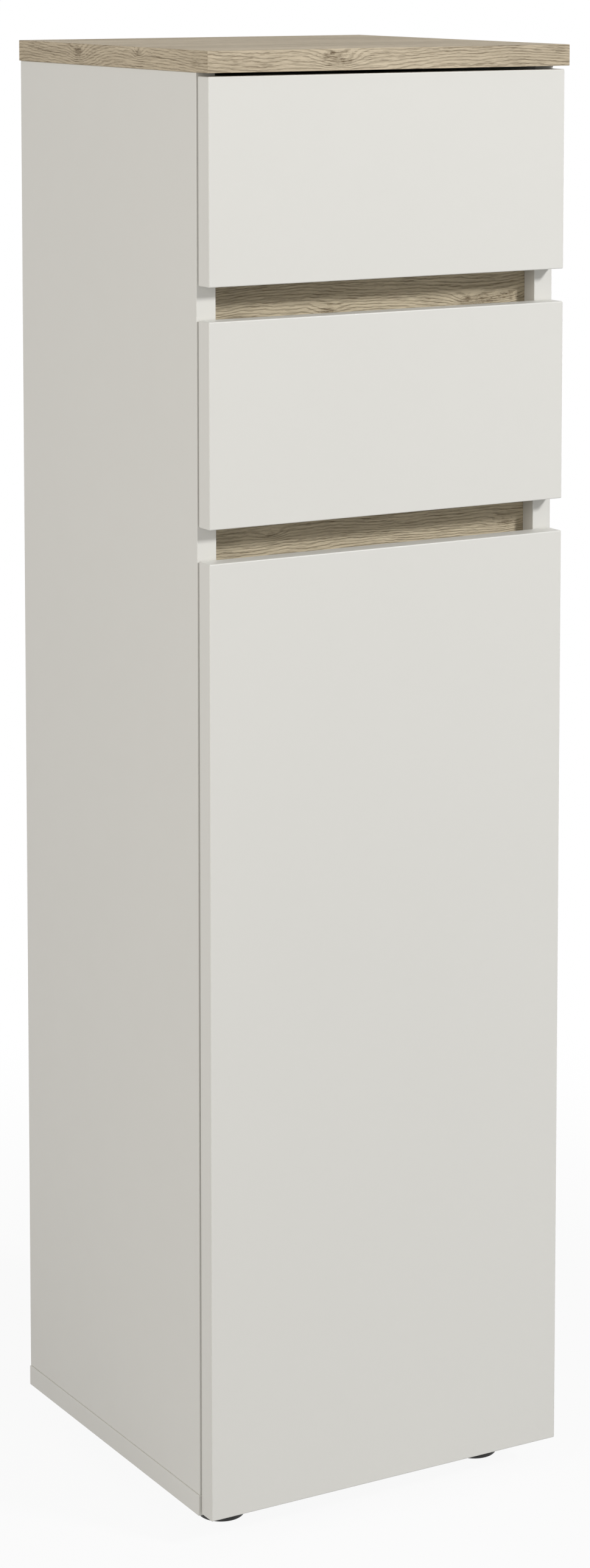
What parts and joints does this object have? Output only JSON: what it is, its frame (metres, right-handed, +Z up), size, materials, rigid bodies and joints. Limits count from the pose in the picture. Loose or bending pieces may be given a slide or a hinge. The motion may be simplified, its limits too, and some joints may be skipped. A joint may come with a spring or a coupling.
{
  "type": "storage cabinet",
  "caption": "Tall narrow storage cabinet with drawers over a hinged door, finger gaps instead of handles, a wood-decor top and round feet.",
  "frame": {"origin": "on the floor, under the middle of the top panel", "axes": "+X to the right seen from the front, +Y to the back, +Z up"},
  "size_m": [0.35, 0.346, 1.253],
  "materials": {
    "white_board": "matt white coated board",
    "oak_board": "pale oak decor, embossed",
    "thin_board": "white lacquered thin board",
    "zinc_steel": "bright zinc plated",
    "runner_paint": "white powder coat",
    "black_plastic": "matt black",
    "white_plastic": "smooth white"
  },
  "bodies": {
    "carcass": {"top_panel": "oak_board", "left_side": "white_board", "right_side": "white_board", "base_panel": "white_board", "back_panel": "thin_board", "wall_bracket": "zinc_steel", "lower_grip_rail": "oak_board", "upper_grip_rail": "oak_board", "fixed_shelf": "white_board", "lower_shelf": "white_board", "upper_shelf": "white_board", "shelf_supports": "zinc_steel", "foot_front_left": "black_plastic", "foot_front_right": "black_plastic", "foot_rear_left": "black_plastic", "foot_rear_right": "black_plastic", "lower_cabinet_runners": "runner_paint", "upper_cabinet_runners": "runner_paint", "hinge_arms": "zinc_steel", "hinge_plates": "zinc_steel"},
    "lower_drawer": {"lower_drawer_front": "white_board", "lower_drawer_left_side": "white_board", "lower_drawer_right_side": "white_board", "lower_drawer_back": "white_board", "lower_drawer_bottom": "thin_board", "lower_drawer_runners": "runner_paint"},
    "lower_front_rollers": {"lower_front_rollers": "white_plastic"},
    "lower_rear_rollers": {"lower_rear_rollers": "white_plastic"},
    "upper_drawer": {"upper_drawer_front": "white_board", "upper_drawer_left_side": "white_board", "upper_drawer_right_side": "white_board", "upper_drawer_back": "white_board", "upper_drawer_bottom": "thin_board", "upper_drawer_runners": "runner_paint"},
    "upper_front_rollers": {"upper_front_rollers": "white_plastic"},
    "upper_rear_rollers": {"upper_rear_rollers": "white_plastic"},
    "outer_links": {"outer_links": "zinc_steel"},
    "inner_links": {"inner_links": "zinc_steel"},
    "door": {"door_panel": "white_board", "hinge_cups": "zinc_steel"}
  },
  "joints": [
    {"name": "lower_drawer_slide", "type": "slide", "parent": "carcass", "child": "lower_drawer", "axis": [0, -1, 0], "range_m": [0, 0.225]},
    {"name": "lower_front_rollers_spin", "type": "hinge", "parent": "carcass", "child": "lower_front_rollers", "pos_m": [0, -0.1355, 0.89212], "axis": [1, 0, 0], "range_deg": [0, 1612]},
    {"name": "lower_rear_rollers_spin", "type": "hinge", "parent": "lower_drawer", "child": "lower_rear_rollers", "pos_m": [0, 0.1368, 0.89128], "axis": [1, 0, 0], "range_deg": [0, 1612]},
    {"name": "upper_drawer_slide", "type": "slide", "parent": "carcass", "child": "upper_drawer", "axis": [0, -1, 0], "range_m": [0, 0.225]},
    {"name": "upper_front_rollers_spin", "type": "hinge", "parent": "carcass", "child": "upper_front_rollers", "pos_m": [0, -0.1355, 1.09012], "axis": [1, 0, 0], "range_deg": [0, 1612]},
    {"name": "upper_rear_rollers_spin", "type": "hinge", "parent": "upper_drawer", "child": "upper_rear_rollers", "pos_m": [0, 0.1368, 1.08928], "axis": [1, 0, 0], "range_deg": [0, 1612]},
    {"name": "outer_links_turn", "type": "hinge", "parent": "carcass", "child": "outer_links", "pos_m": [0.14025, -0.1455, 0.431], "axis": [0, 0, -1], "range_deg": [0, 41]},
    {"name": "inner_links_turn", "type": "hinge", "parent": "carcass", "child": "inner_links", "pos_m": [0.1395, -0.1591, 0.431], "axis": [0, 0, -1], "range_deg": [0, 47.1]},
    {"name": "door_swing", "type": "hinge", "parent": "outer_links", "child": "door", "pos_m": [0.16191, -0.1535, 0.431], "axis": [0, 0, 1], "range_deg": [0, 140.9]}
  ],
  "couplings": [
    {"joint": "lower_front_rollers_spin", "follows": "lower_drawer_slide", "rad_per_m": 125},
    {"joint": "lower_rear_rollers_spin", "follows": "lower_drawer_slide", "rad_per_m": 125},
    {"joint": "upper_front_rollers_spin", "follows": "upper_drawer_slide", "rad_per_m": 125},
    {"joint": "upper_rear_rollers_spin", "follows": "upper_drawer_slide", "rad_per_m": 125},
    {"joint": "outer_links_turn", "follows": "door_swing", "ratio": 0.29028},
    {"joint": "inner_links_turn", "follows": "door_swing", "ratio": 0.33357}
  ]
}
